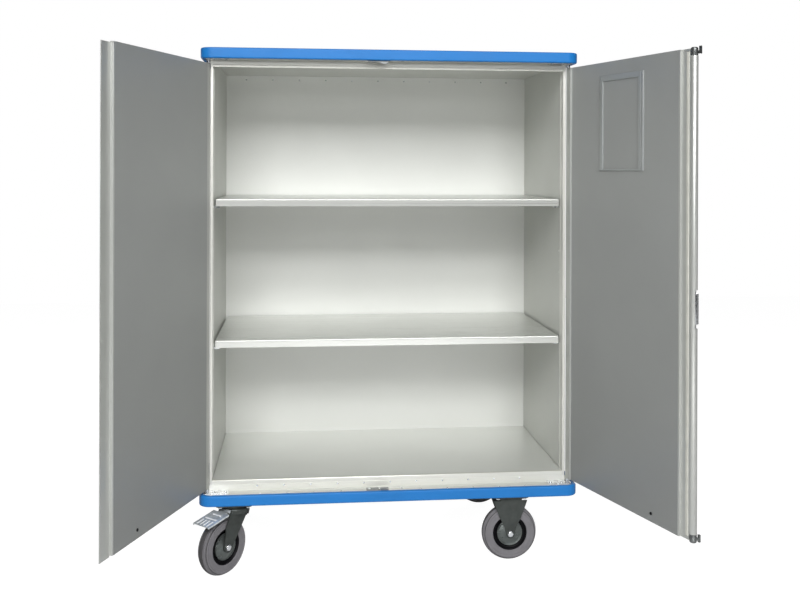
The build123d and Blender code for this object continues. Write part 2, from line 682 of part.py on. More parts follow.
def lock_handle():
    """Boss clamped on the rod in the window, with a cranked lever that lies along the door."""
    boss = upright(ROD_X, ROD_Y, HANDLE_Z, HOUSING_BORE - 0.4)
    arm_x = (ROD_X + HANDLE_ARM_X[0], ROD_X + HANDLE_ARM_X[1])
    boss += slab(arm_x, (ROD_Y + LEVER_NEAR_Y[0], ROD_Y), HANDLE_Z)
    middle = (HANDLE_Z[0] + HANDLE_Z[1]) / 2
    bend, straight = LEVER_CRANK_X
    outline = [
        (0, LEVER_NEAR_Y[0]),
        (bend, LEVER_NEAR_Y[0]),
        (straight, LEVER_FAR_Y[0]),
        (LEVER_LENGTH, LEVER_FAR_Y[0]),
        (LEVER_LENGTH, LEVER_FAR_Y[1]),
        (straight + 2, LEVER_FAR_Y[1]),
        (bend + 2, LEVER_NEAR_Y[1]),
        (0, LEVER_NEAR_Y[1]),
    ]
    lever_z = (middle - LEVER_HALF_HEIGHT, middle + LEVER_HALF_HEIGHT)
    lever = prism_z([(ROD_X + x, ROD_Y + y) for x, y in outline], lever_z)
    lever = fillet(lever.edges().filter_by(Axis.Y).group_by(Axis.X)[-1], LEVER_ROUNDING)
    return boss + lever - upright(ROD_X, ROD_Y, HANDLE_Z, ROD)


# --- casters, drawn at the origin with the trail along +X -----------------------------------------


def set_caster(piece, name):
    x, y, heading, _ = CASTERS[name]
    return Pos(x, y, 0) * piece.rotate(Axis.Z, heading)


def caster_bolt_places():
    return [
        (x + sx * BOLT_XY[0], y + sy * BOLT_XY[1])
        for x, y, _, _ in CASTERS.values()
        for sx in (-1, 1)
        for sy in (-1, 1)
    ]


def caster_bolts():
    bolt = button(BOLT_HEAD, BOLT_HEIGHT, SCREW_HEAD, PLATE_THICKNESS + 8)
    bottom = PLATE_TOP - PLATE_THICKNESS
    return group([set_at(bolt, (x, y, bottom), (0, 0, -1)) for x, y in caster_bolt_places()])


def top_plate():
    """Caster top plate, drilled for its bolts."""
    z = (PLATE_TOP - PLATE_THICKNESS, PLATE_TOP)
    plate = slab((-62, 62), (-54, 54), z)
    plate = fillet(plate.edges().filter_by(Axis.Z), 8.0)
    for x in (-BOLT_XY[0], BOLT_XY[0]):
        for y in (-BOLT_XY[1], BOLT_XY[1]):
            plate -= upright(x, y, z, SCREW_HEAD)
    return plate


def legs(outline, axle_x, end_radius):
    """The two cheeks of a fork, with a round end and the axle hole."""
    cheeks = None
    for y in ((-FORK_OUTER, -FORK_INNER), (FORK_INNER, FORK_OUTER)):
        cheek = prism_y(outline, y) + rod((axle_x, y[0], WHEEL), (axle_x, y[1], WHEEL), end_radius)
        cheek -= rod((axle_x, y[0], WHEEL), (axle_x, y[1], WHEEL), AXLE)
        cheeks = cheek if cheeks is None else cheeks + cheek
    return cheeks


def fixed_fork():
    """Top plate with two cheeks that spread into wings below it and narrow to the axle."""
    under = PLATE_TOP - PLATE_THICKNESS
    right = [(FIXED_WAIST, under), (FIXED_WAIST, FIXED_WINGS[0][1])] + FIXED_WINGS + [(FIXED_FOOT, WHEEL)]
    outline = right + [(-x, z) for x, z in reversed(right)]
    waist = (-FIXED_WAIST, FIXED_WAIST)
    saddle = slab(waist, (-FORK_INNER, FORK_INNER), (under - PLATE_THICKNESS, under))
    return legs(outline, 0, FIXED_FOOT) + saddle + top_plate()


def swivel_plate():
    """Top plate with the race cup, the kingpin and its nut."""
    under = PLATE_TOP - PLATE_THICKNESS
    plate = top_plate() + upright(0, 0, (RACE_BOTTOM, under), RACE_CUP)
    plate += upright(0, 0, (KINGPIN_Z[0] + 1, KINGPIN_Z[1]), KINGPIN)
    return plate + extrude(Pos(0, 0, KINGPIN_Z[0]) * RegularPolygon(KINGPIN_NUT, 6), 6)


def swivel_fork():
    """Round crown under the race cup, with cheeks that trail back to the axle and ears for the pedal."""
    crown = upright(0, 0, CROWN_Z, CROWN)
    crown = fillet(crown.faces().sort_by(Axis.Z)[-1].edges(), CROWN_ROUNDING)
    outline = [(-34, 216), (46, 216), (TRAIL + 8, 170), (TRAIL + 17, 106), (TRAIL - 14, 88), (-24, 190)]
    cheeks = legs(outline, TRAIL, SWIVEL_FOOT)
    lug = [(28, 205), (28, 222), (46, 222), (50, 205)]
    ears = prism_y(lug, (-FORK_OUTER, -FORK_INNER)) + prism_y(lug, (FORK_INNER, FORK_OUTER))
    px, pz = PEDAL_PIVOT
    fork = crown + cheeks + ears
    fork -= slab((30, 60), (-FORK_INNER, FORK_INNER), (CROWN_Z[0] - 3, CROWN_Z[1] + 1))
    fork -= upright(0, 0, KINGPIN_Z, KINGPIN + PIN_CLEARANCE)
    return fork - rod((px, -FORK_OUTER, pz), (px, FORK_OUTER, pz), PEDAL_PIN)


def axle(x):
    """Axle bolt with a domed head at one end and a nut at the other."""
    bolt = rod((x, -FORK_OUTER, WHEEL), (x, FORK_OUTER, WHEEL), AXLE)
    head = button(AXLE_HEAD, AXLE_HEAD_HEIGHT, AXLE, 1)
    near = set_at(head, (x, -FORK_OUTER, WHEEL), (0, -1, 0))
    return bolt + near + set_at(head, (x, FORK_OUTER, WHEEL), (0, 1, 0))


def swivel_axle():
    """The wheel's axle bolt and the pedal's pivot pin."""
    px, pz = PEDAL_PIVOT
    return group([axle(TRAIL), rod((px, -FORK_OUTER, pz), (px, FORK_OUTER, pz), PEDAL_PIN)])


def brake_pedal():
    """Pressed pedal hung on its pivot: a neck, a wide tread with folded sides, and a shoe above the tyre."""
    px, pz = PEDAL_PIVOT
    half = FORK_INNER - 1.5
    barrel = rod((px, -half, pz), (px, half, pz), PEDAL_BARREL)
    top = pz + 3
    neck = slab((px, PEDAL_BEND + 2), (-PEDAL_NECK, PEDAL_NECK), (top - PEDAL_SHEET - 0.5, top - 0.5))
    tip = (PEDAL_TIP, PEDAL_TIP_Z)
    tread = [(PEDAL_BEND, top), tip, (tip[0], tip[1] - PEDAL_SHEET), (PEDAL_BEND, top - PEDAL_SHEET)]
    plate = prism_y(tread, (-PEDAL_HALF_WIDTH, PEDAL_HALF_WIDTH))
    skirt = [(PEDAL_BEND, top - 1), (tip[0], tip[1] - 1)]
    skirt += [(tip[0], tip[1] - PEDAL_SKIRT), (PEDAL_BEND, top - PEDAL_SKIRT)]
    for side in (-1, 1):
        y = sorted((side * (PEDAL_HALF_WIDTH - PEDAL_SHEET), side * PEDAL_HALF_WIDTH))
        plate += prism_y(skirt, y)
    shoe = slab(SHOE_X, (-SHOE_HALF_WIDTH, SHOE_HALF_WIDTH), SHOE_Z)
    bore = rod((px, -half, pz), (px, half, pz), PEDAL_PIN + PIN_CLEARANCE)
    return barrel + neck + plate + shoe - bore


def turned(profile):
    """A wheel part turned from its half section, with its axle along Y."""
    face = make_face(Polyline(*[(r, 0, y) for r, y in profile], close=True))
    return revolve(face, Axis.Z).rotate(Axis.X, 90)


def wheel_at(piece, trail):
    return Pos(trail, 0, WHEEL) * piece


def both_sides(section):
    """Completes a half section with its mirror image across the wheel's middle plane."""
    return section + [(r, -y) for r, y in reversed(section)]


def tyre():
    half = TYRE_WIDTH / 2
    side = [(RIM, -half + 2), (RIM + 4, -half)] + [(r, -y) for r, y in TREAD_STEPS]
    return turned(both_sides(side))


def wheel_rim():
    bore = AXLE + AXLE_CLEARANCE
    side = [(bore, -HUB_LENGTH / 2), (HUB, -HUB_LENGTH / 2), (HUB, -WEB_FACE), (WEB, -WEB_FACE)]
    side += [(WEB, -CUP_FACE), (RIM - 3, -CUP_FACE), (RIM - 3, -RIM_FACE), (RIM, -RIM_FACE)]
    return turned(both_sides(side))


# --- assembly ------------------------------------------------------------------------------------


def cabinet_parts():
    parts = {
        "base_frame": base_frame(),
        "base_deck": base_deck(),
        "bottom_bumper": bumper(CASTER_HEIGHT),
        "sill_profile": sill_profile(),
        "floor_panel": floor_panel(),
        "left_side_panel": side_panel(-1),
        "right_side_panel": side_panel(1),
        "back_panel": back_panel(),
        "front_post_left": front_post(-1),
        "front_post_right": front_post(1),
        "rear_posts": group([rear_post(-1), rear_post(1)]),
        "header_profile": header_profile(),
        "roof_deck": roof_deck(),
        "top_frame": tube_ring((CEILING_Z + DECK_THICKNESS, ROOF_SHEET_BOTTOM), 30.0),
        "roof_sheet": rounded_plate(BUMPER_THICKNESS + RAIL_GAP, (ROOF_SHEET_BOTTOM, ROOF_SHEET_TOP)),
        "top_bumper": bumper(BOX_TOP - BUMPER_HEIGHT),
        "sill_rivets": sill_rivets(),
        "back_rivets": back_rivets(),
        "shelf_studs": shelf_studs(),
        "hinge_brackets": hinge_brackets(),
        "hinge_pins": hinge_pins(),
        "bottom_keeper": keeper(LEDGE_Z, 1),
        "top_keeper": keeper(CEILING_Z, -1),
        "frame_screws": frame_screws(),
    }
    for name, top in SHELF_TOPS.items():
        parts[name] = shelf(top)
    return parts


def door_parts():
    left = {
        "left_door_panel": left_door_panel(),
        "left_door_edge": left_door_edge(),
        "left_hinge_profile": hinge_profile(-1, LEFT_HINGE_WIDTH, (LEFT_FACE, LEFT_BACK)),
        "left_door_stud": door_stop(-STOP_X, LEFT_BACK),
    }
    right = {
        "right_door_panel": right_door_panel(),
        "right_door_edge": right_door_edge(),
        "right_hinge_profile": hinge_profile(1, RIGHT_HINGE_WIDTH, (LEFT_FACE, LEFT_BACK)),
        "right_door_gasket": right_door_gasket(),
        "right_door_stud": door_stop(STOP_X, RIGHT_BACK),
        "card_holder": card_holder(),
        "rod_guides": rod_guides(),
        "lock_rod": lock_rod(),
        "top_cam": cam(TOP_HUB_Z, TOP_ARM_Z, TOP_FINGER_Z, -1),
        "bottom_cam": cam(BOTTOM_HUB_Z, BOTTOM_ARM_Z, BOTTOM_FINGER_Z, 0),
        "lock_handle": lock_handle(),
    }
    opened = {name: swing_left(piece) for name, piece in left.items()}
    opened.update({name: swing_right(piece) for name, piece in right.items()})
    return opened


def caster_parts():
    parts = {"caster_bolts": caster_bolts()}
    for name, (_, _, _, trail) in CASTERS.items():
        parts[f"tyre_{name}"] = set_caster(wheel_at(tyre(), trail), name)
        parts[f"wheel_rim_{name}"] = set_caster(wheel_at(wheel_rim(), trail), name)
    for end in ("front", "rear"):
        left, right = f"{end}_left", f"{end}_right"
        parts[f"swivel_fork_{end}"] = set_caster(swivel_fork(), left)
        parts[f"swivel_axle_{end}"] = group([set_caster(swivel_axle(), left)])
        parts[f"brake_pedal_{end}"] = set_caster(brake_pedal(), left)
        parts[f"fixed_fork_{end}"] = set_caster(fixed_fork(), right)
    parts["fixed_axles"] = group([set_caster(axle(0), f"{end}_right") for end in ("front", "rear")])
    plates = [Pos(SWIVEL_X, y, 0) * swivel_plate() for y in (FRONT_Y, REAR_Y)]
    parts["swivel_plates"] = group(plates)
    return parts


def all_parts():
    return {**cabinet_parts(), **door_parts(), **caster_parts()}


def origin_of(parts):
    """Middle of the open cart's outline, on the floor."""
    box = Compound(children=[s for piece in parts.values() for s in piece.solids()]).bounding_box()
    return Vector(box.center().X, box.center().Y, 0)


def main():
    parts = all_parts()
    origin = origin_of(parts)
    os.makedirs("parts", exist_ok=True)
    for name, piece in parts.items():
        placed = Pos(-origin.X, -origin.Y, 0) * group([piece])
        placed.label = name
        export_step(placed, f"parts/{name}.step")
    print(f"{len(parts)} parts, origin at X {origin.X:.3f} Y {origin.Y:.3f} of the drawing frame")


if __name__ == "__main__":
    main()
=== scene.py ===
import json
import math

import bmesh
import bpy
from mathutils import Matrix, Vector


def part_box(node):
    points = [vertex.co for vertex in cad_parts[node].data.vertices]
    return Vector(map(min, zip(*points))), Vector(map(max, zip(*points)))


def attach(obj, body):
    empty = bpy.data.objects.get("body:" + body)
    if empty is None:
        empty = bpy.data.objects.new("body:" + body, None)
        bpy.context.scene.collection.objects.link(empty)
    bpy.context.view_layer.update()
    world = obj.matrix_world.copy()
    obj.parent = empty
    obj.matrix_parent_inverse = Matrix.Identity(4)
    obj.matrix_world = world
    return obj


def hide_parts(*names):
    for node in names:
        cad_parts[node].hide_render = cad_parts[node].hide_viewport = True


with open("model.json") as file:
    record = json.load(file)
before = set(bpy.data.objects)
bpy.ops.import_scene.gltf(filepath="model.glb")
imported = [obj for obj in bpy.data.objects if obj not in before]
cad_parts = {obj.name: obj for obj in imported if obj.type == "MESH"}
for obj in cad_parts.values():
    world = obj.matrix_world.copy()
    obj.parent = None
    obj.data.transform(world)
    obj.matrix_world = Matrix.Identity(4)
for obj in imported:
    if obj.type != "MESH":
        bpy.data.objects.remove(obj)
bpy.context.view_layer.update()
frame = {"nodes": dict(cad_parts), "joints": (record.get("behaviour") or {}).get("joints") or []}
NODES = frame["nodes"]
JOINTS = {joint["name"]: joint for joint in frame["joints"]}
MM = 0.001

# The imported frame's origin is the middle of the open cart, so the cabinet's own middle plane and
# front face are found from its nodes.
SILL_LOW, SILL_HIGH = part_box("sill_profile")
MIDDLE_X = (SILL_LOW.x + SILL_HIGH.x) / 2
FRONT_Y = SILL_LOW.y
FLOOR_SIZE = 14.0
WHEEL_NAMES = ("front_left", "rear_left", "front_right", "rear_right")


# --- shader helper -------------------------------------------------------------------------------

# Sockets of the colour Mix node, which share their names with its other types
MIX_FACTOR, MIX_DARK, MIX_LIGHT, MIX_COLOUR_OUT = 0, 6, 7, 2
# The middle range of a noise, where nearly all of its values lie
NOISE_LOW, NOISE_HIGH = 0.3, 0.7


class Shader:
    """A Principled material under construction, in metres of object space."""

    def __init__(self, name, colour, rough, metal=0.0, specular=0.5):
        self.material = bpy.data.materials.new(name)
        self.material.use_nodes = True
        self.tree = self.material.node_tree
        self.bsdf = self.tree.nodes["Principled BSDF"]
        self.colour = colour
        self.set("Base Color", (*colour, 1.0))
        self.set("Roughness", rough)
        self.set("Metallic", metal)
        self.set("Specular IOR Level", specular)
        self.point = self.add("ShaderNodeTexCoord").outputs["Object"]
        self.height = None

    def set(self, socket, value):
        self.bsdf.inputs[socket].default_value = value

    def add(self, kind, **settings):
        node = self.tree.nodes.new(kind)
        for key, value in settings.items():
            setattr(node, key, value)
        return node

    def link(self, output, node_input):
        self.tree.links.new(output, node_input)

    def stretched(self, scale):
        """Object coordinates scaled along each axis, for brushed or drawn grain."""
        mapping = self.add("ShaderNodeMapping")
        mapping.inputs["Scale"].default_value = scale
        self.link(self.point, mapping.inputs["Vector"])
        return mapping.outputs["Vector"]

    def noise(self, scale, detail, vector=None):
        node = self.add("ShaderNodeTexNoise")
        node.inputs["Scale"].default_value = scale
        node.inputs["Detail"].default_value = detail
        node.inputs["Roughness"].default_value = 0.5
        self.link(vector if vector is not None else self.point, node.inputs["Vector"])
        return node.outputs["Fac"]

    def ramp(self, value, low, high):
        """Maps a value's middle range onto low to high."""
        node = self.add("ShaderNodeMapRange")
        node.inputs["From Min"].default_value = NOISE_LOW
        node.inputs["From Max"].default_value = NOISE_HIGH
        node.inputs["To Min"].default_value = low
        node.inputs["To Max"].default_value = high
        self.link(value, node.inputs["Value"])
        return node.outputs["Result"]

    def vary_colour(self, value, amount):
        """Lightens and darkens the base colour by amount."""
        mix = self.add("ShaderNodeMix", data_type="RGBA")
        mix.inputs[MIX_DARK].default_value = (*[c * (1 - amount) for c in self.colour], 1.0)
        mix.inputs[MIX_LIGHT].default_value = (*[min(c * (1 + amount), 1.0) for c in self.colour], 1.0)
        self.link(self.ramp(value, 0.0, 1.0), mix.inputs[MIX_FACTOR])
        self.link(mix.outputs[MIX_COLOUR_OUT], self.bsdf.inputs["Base Color"])

    def vary_roughness(self, value, low, high):
        self.link(self.ramp(value, low, high), self.bsdf.inputs["Roughness"])

    def bump(self, value, distance, strength):
        """Adds relief of this depth in metres on top of any relief added before."""
        node = self.add("ShaderNodeBump")
        node.inputs["Strength"].default_value = strength
        node.inputs["Distance"].default_value = distance
        self.link(value, node.inputs["Height"])
        if self.height is not None:
            self.link(self.height, node.inputs["Normal"])
        self.height = node.outputs["Normal"]
        self.link(self.height, self.bsdf.inputs["Normal"])


# --- materials -----------------------------------------------------------------------------------


# How slowly a grain changes along its own direction, as a noise scale
GRAIN_LENGTHWISE = 0.1
# Heights in metres between which a door's painted shade lifts, its tone rising from its foot's share to full
DOOR_PAINTED_SHADE = {"From Min": 0.3, "From Max": 1.25, "To Min": 0.8, "To Max": 1.0}


def grain_scale(along, across):
    """Scales that draw a noise out into lines along one axis."""
    return tuple(GRAIN_LENGTHWISE if axis == along else across for axis in "XYZ")


def panel_metal(name, colour, rough, metal, along="Z"):
    """Coated sheet: faint rolling grain, a fine skin and slow changes of tone."""
    s = Shader(name, colour, rough, metal)
    s.vary_colour(s.noise(2.3, 2.0), 0.025)
    s.vary_roughness(s.noise(5.0, 1.0), rough - 0.02, rough + 0.05)
    s.bump(s.noise(220.0, 1.0), 0.000006, 0.3)
    s.bump(s.noise(1.0, 1.0, s.stretched(grain_scale(along, 160.0))), 0.000008, 0.25)
    return s


def door_metal_painted_shade(name, colour, rough, metal):
    """Door sheet with painted shade, darker towards its foot."""
    s = panel_metal(name, colour, rough, metal)
    split = s.add("ShaderNodeSeparateXYZ")
    s.link(s.point, split.inputs["Vector"])
    # Painted shade: the colour is scaled down towards the door's foot
    shade_by_height = s.add("ShaderNodeMapRange")
    for socket, value in DOOR_PAINTED_SHADE.items():
        shade_by_height.inputs[socket].default_value = value
    s.link(split.outputs["Z"], shade_by_height.inputs["Value"])
    shade = s.add("ShaderNodeVectorMath", operation="SCALE")
    tone = s.bsdf.inputs["Base Color"].links[0].from_socket
    s.link(tone, shade.inputs["Vector"])
    s.link(shade_by_height.outputs["Result"], shade.inputs["Scale"])
    s.link(shade.outputs["Vector"], s.bsdf.inputs["Base Color"])
    return s


def drawn_profile(name, colour, along, rough, metal):
    """Anodised extrusion with its drawing lines along one axis."""
    s = Shader(name, colour, rough, metal)
    grain = s.noise(1.0, 1.0, s.stretched(grain_scale(along, 330.0)))
    s.vary_colour(s.noise(3.0, 1.0), 0.02)
    s.vary_roughness(grain, rough - 0.03, rough + 0.05)
    s.bump(grain, 0.0000025, 0.2)
    return s


def zinc(name, colour=(0.7, 0.72, 0.74), rough=0.22, metal=0.9):
    """Bright zinc plate with cloudy patches."""
    s = Shader(name, colour, rough, metal)
    s.vary_colour(s.noise(45.0, 2.0), 0.1)
    s.vary_roughness(s.noise(60.0, 2.0), rough - 0.05, rough + 0.1)
    s.bump(s.noise(400.0, 1.0), 0.00001, 0.4)
    return s.material


def bumper_plastic():
    """Blue rail of moulded plastic: pebbled skin, soft sheen, light scuffs."""
    s = Shader("bumper_blue", (0.012, 0.165, 0.48), 0.42, 0.0, 0.28)
    s.vary_colour(s.noise(5.0, 2.0), 0.05)
    s.vary_roughness(s.noise(18.0, 3.0), 0.38, 0.5)
    s.bump(s.noise(700.0, 1.0), 0.00003, 0.5)
    return s.material


def rubber(name, colour, rough=0.7, specular=0.35):
    """Rubber or dull plastic: fine pebbled skin with dusty patches."""
    s = Shader(name, colour, rough, 0.0, specular)
    s.vary_colour(s.noise(30.0, 5.0), 0.08)
    s.vary_roughness(s.noise(80.0, 4.0), rough - 0.08, rough + 0.1)
    s.bump(s.noise(1100.0, 3.0), 0.00006, 0.7)
    return s.material


def painted(name, colour, rough=0.5, metal=0.3):
    """Passivated or painted steel with mottled tone."""
    s = Shader(name, colour, rough, metal)
    s.vary_colour(s.noise(40.0, 5.0), 0.14)
    s.vary_roughness(s.noise(60.0, 4.0), rough - 0.1, rough + 0.12)
    s.bump(s.noise(500.0, 3.0), 0.00006, 0.6)
    return s.material


MATERIALS = {
    "wall": panel_metal("wall_metal", (0.6, 0.61, 0.575), 0.38, 0.2).material,
    "floor": panel_metal("floor_metal", (0.78, 0.79, 0.76), 0.3, 0.6, "X").material,
    "back": panel_metal("back_metal", (0.78, 0.79, 0.76), 0.4, 0.1).material,
    # Door sheet with painted shade towards its foot
    "door": door_metal_painted_shade("door_metal_painted_shade", (0.335, 0.345, 0.338), 0.42, 0.25).material,
    "deck": panel_metal("deck_metal", (0.5, 0.51, 0.49), 0.36, 0.5, "X").material,
    "shelf": drawn_profile("shelf_metal", (0.64, 0.65, 0.62), "X", 0.3, 0.7).material,
    "post": drawn_profile("post_profile", (0.64, 0.64, 0.6), "Z", 0.36, 0.4).material,
    "edge": drawn_profile("edge_profile", (0.49, 0.5, 0.48), "Z", 0.34, 0.5).material,
    "rail": drawn_profile("rail_profile", (0.7, 0.7, 0.65), "X", 0.32, 0.5).material,
    "card": drawn_profile("card_profile", (0.42, 0.44, 0.44), "Z", 0.34, 0.5).material,
    "zinc": zinc("zinc_plate"),
    # Darker copy of the zinc plate: partly the cams' own dark zinc, partly painted shade on the keepers'
    # faces
    "dark_zinc_and_shade": zinc("dark_zinc_and_shade", (0.2, 0.21, 0.21), 0.34),
    # Pedal ribs: a lighter copy of the pedal zinc, a painted highlight
    "rib": zinc("rib_zinc_painted_highlight", (0.95, 0.96, 0.97), 0.3, 0.3),
    "pedal": zinc("pedal_zinc", (0.66, 0.7, 0.72), 0.32, 0.6),
    "fork": painted("fork_zinc", (0.055, 0.062, 0.058), 0.42, 0.5),
    "frame": painted("frame_paint", (0.3, 0.31, 0.32)),
    "bumper": bumper_plastic(),
    "tyre": rubber("grey_tyre", (0.165, 0.16, 0.17)),
    "black": rubber("black_plastic", (0.004, 0.004, 0.005), 0.5, 0.12),
    "seal": rubber("seal_rubber", (0.55, 0.55, 0.5), 0.6),
    # Painted shade for the tyre's grooves and rolling surface
    "tread": rubber("tread_painted_shade", (0.06, 0.058, 0.06)),
    "cover": painted("cover_zinc", (0.13, 0.145, 0.14), 0.33, 0.75),
}

NODE_MATERIAL = {
    "wall": ("left_side_panel", "right_side_panel", "roof_deck", "roof_sheet"),
    "floor": ("floor_panel",),
    "back": ("back_panel",),
    "door": ("left_door_panel", "right_door_panel"),
    "deck": ("base_deck",),
    "shelf": ("upper_shelf", "lower_shelf"),
    "post": ("front_post_left", "front_post_right", "rear_posts"),
    "edge": ("left_door_edge", "left_hinge_profile", "right_door_edge", "right_hinge_profile"),
    "rail": ("sill_profile", "header_profile"),
    "card": ("card_holder",),
    "zinc": (
        "sill_rivets", "back_rivets", "shelf_studs", "hinge_brackets", "hinge_pins", "frame_screws",
        "fixed_axles", "swivel_axle_front", "swivel_axle_rear", "caster_bolts", "lock_rod", "lock_handle",
    ),
    # Keepers and cams: dark zinc with painted shade
    "dark_zinc_and_shade": ("bottom_keeper", "top_keeper", "top_cam", "bottom_cam"),
    "pedal": ("brake_pedal_front", "brake_pedal_rear"),
    "fork": (
        "fixed_fork_front", "fixed_fork_rear", "swivel_fork_front", "swivel_fork_rear", "swivel_plates",
    ),
    "frame": ("base_frame", "top_frame"),
    "bumper": ("bottom_bumper", "top_bumper"),
    "tyre": tuple(f"tyre_{name}" for name in WHEEL_NAMES),
    "black": (
        "left_door_stud", "right_door_stud", "rod_guides", *(f"wheel_rim_{name}" for name in WHEEL_NAMES),
    ),
    "seal": ("right_door_gasket",),
}


WELD_DISTANCE = 1e-6
BEVEL_STEPS = 2
BEVEL_ANGLE = 40


def soften(obj, width):
    """Rounds a CAD node's sharp edges for the light, through modifiers only."""
    weld = obj.modifiers.new("weld", "WELD")
    weld.merge_threshold = WELD_DISTANCE
    bevel = obj.modifiers.new("bevel", "BEVEL")
    bevel.width = width
    bevel.segments = BEVEL_STEPS
    bevel.limit_method = "ANGLE"
    bevel.angle_limit = math.radians(BEVEL_ANGLE)
    bevel.harden_normals = True
    bevel.use_clamp_overlap = True


# Edge radius in metres and the nodes that carry it
SOFT_EDGES = {
    0.0012: (
        "base_deck", "roof_deck", "roof_sheet", "fixed_fork_front", "fixed_fork_rear", "swivel_fork_front",
        "swivel_fork_rear", "lock_handle", "brake_pedal_front", "brake_pedal_rear",
    ),
    0.0007: (
        "left_door_edge", "right_door_edge", "left_hinge_profile", "right_hinge_profile", "front_post_left",
        "front_post_right", "header_profile", "sill_profile", "upper_shelf", "lower_shelf", "card_holder",
        "top_cam", "bottom_cam", "hinge_brackets", "top_keeper", "bottom_keeper", "swivel_plates",
        "shelf_studs",
    ),
}


def dress_nodes():
    """Gives every CAD node its material and rounds the edges that catch the light."""
    for key, names in NODE_MATERIAL.items():
        for name in names:
            obj = NODES[name]
            obj.data.materials.clear()
            obj.data.materials.append(MATERIALS[key])
    for width, names in SOFT_EDGES.items():
        for name in names:
            soften(NODES[name], width)


# --- turned wheels -------------------------------------------------------------------------------


def wheel_pose(name):
    """Centre and axle direction of a wheel, from its joint."""
    joint = JOINTS[f"wheel_{name}_roll"]
    return Vector(joint["pos_m"]), Vector(joint["axis"]).normalized()


# Steps of a full turn, and the fold in degrees past which an edge shades as hard
TURN_STEPS = 96
HARD_ANGLE = 32


def turned(name, section, place):
    """Turns a closed half section of (radius, along) millimetres about the axle."""
    centre, axis = place
    turn = axis.to_track_quat("Z", "Y").to_matrix()
    mesh = bpy.data.meshes.new(name)
    work = bmesh.new()
    rings = []
    for i in range(TURN_STEPS):
        a = 2 * math.pi * i / TURN_STEPS
        ring = []
        for radius, along in section:
            local = Vector((radius * math.cos(a), radius * math.sin(a), along)) * MM
            ring.append(work.verts.new(centre + turn @ local))
        rings.append(ring)
    for i in range(TURN_STEPS):
        here, there = rings[i], rings[(i + 1) % TURN_STEPS]
        for j in range(len(section)):
            k = (j + 1) % len(section)
            work.faces.new((here[j], there[j], there[k], here[k]))
    bmesh.ops.recalc_face_normals(work, faces=work.faces)
    work.to_mesh(mesh)
    work.free()
    obj = bpy.data.objects.new(name, mesh)
    bpy.context.scene.collection.objects.link(obj)
    for polygon in mesh.polygons:
        polygon.use_smooth = True
    return obj


def sharp_by_angle(obj):
    """Splits the shading at the hard edges of a turned piece."""
    mesh = obj.data
    work = bmesh.new()
    work.from_mesh(mesh)
    for edge in work.edges:
        if len(edge.link_faces) == 2:
            edge.smooth = edge.calc_face_angle(0.0) < math.radians(HARD_ANGLE)
    work.to_mesh(mesh)
    work.free()


# Radii in millimetres: rim meets tyre, and the steel cover's edge
RIM_R = 62.0
RING_R = 46.5

# Radii at which a tyre gets painted shade: its two grooves on each side and the rolling surface
SHADED_BANDS = [(89.9, 91.5), (93.2, 94.0), (98.4, 101.0)]


def tyre_section():
    """Round tread with two grooves a side and a side wall with shallow rings."""
    side = [(RIM_R, 20.5), (RIM_R + 1.5, 22.0), (RIM_R + 6, 22.6)]
    side += [(70, 22.0), (72, 22.4), (80, 22.1), (82, 21.6), (84, 22.3), (87, 22.9), (88.5, 21.9)]
    side += [(90.5, 21.4), (92.4, 19.8), (90.2, 18.8), (90.2, 16.6), (95.0, 15.4), (96.2, 13.2), (93.6, 12.4)]
    side += [(93.6, 10.2), (98.2, 9.2), (99.6, 3.5), (99.9, 0.0)]
    mirrored = [(r, -y) for r, y in reversed(side[:-1])]
    return side + mirrored


def rim_section():
    """Black rim: bead ring, deep channel, web and hub sleeve."""
    side = [(6.1, 25.0), (11.0, 25.0), (12.0, 24.2), (12.0, 10.0), (44.0, 9.0), (48.0, 9.0)]
    side += [(55.0, 13.0), (57.5, 19.5), (59.0, 20.7), (60.8, 20.9), (RIM_R - 0.1, 20.2)]
    mirrored = [(r, -y) for r, y in reversed(side)]
    return side + mirrored


def cover_section():
    """Dished steel thread guard with a rolled edge, one side."""
    outer = [(12.3, 24.3), (17.0, 24.2), (19.0, 23.0), (26.0, 21.6), (27.5, 20.7), (38.0, 19.0), (40.5, 18.0)]
    outer += [(42.5, 18.8), (44.5, 19.2), (45.9, 18.3), (RING_R, 16.0), (RING_R, 13.0)]
    inner = [(RING_R - 1, 13.0), (44.8, 17.4), (43.0, 17.8), (40.4, 17.0), (37.6, 18.0), (27.0, 19.8)]
    inner += [(25.6, 20.6), (18.6, 22.0), (12.3, 23.2)]
    return outer + inner


def paint_tread_shade(tyre, place):
    """Painted shade: grooves and rolling surface are darker than the side walls."""
    tyre.data.materials.append(MATERIALS["tread"])
    centre, axis = place
    for face in tyre.data.polygons:
        arm = face.center - centre
        arm -= axis * arm.dot(axis)
        radius = arm.length / MM
        face.material_index = int(any(low < radius < high for low, high in SHADED_BANDS))


def make_wheels():
    """Tyre, rim and two steel covers for each wheel, in place of the plain CAD tyre and rim."""
    for name in WHEEL_NAMES:
        place = wheel_pose(name)
        body = f"wheel_{name}"
        tyre = turned(f"tread_{name}", tyre_section(), place)
        rim = turned(f"rim_{name}", rim_section(), place)
        for obj, key, node in ((tyre, "tyre", f"tyre_{name}"), (rim, "black", f"wheel_rim_{name}")):
            obj.data.materials.append(MATERIALS[key])
            sharp_by_angle(obj)
            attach(obj, body)
            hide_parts(node)
        # Painted shade in the tread's grooves and on its rolling surface
        paint_tread_shade(tyre, place)
        for side, label in ((1, "outer"), (-1, "inner")):
            section = [(r, side * y) for r, y in cover_section()]
            cover = turned(f"cover_{label}_{name}", section, place)
            cover.data.materials.append(MATERIALS["cover"])
            sharp_by_angle(cover)
            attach(cover, body)


# --- pedal ribs ----------------------------------------------------------------------------------

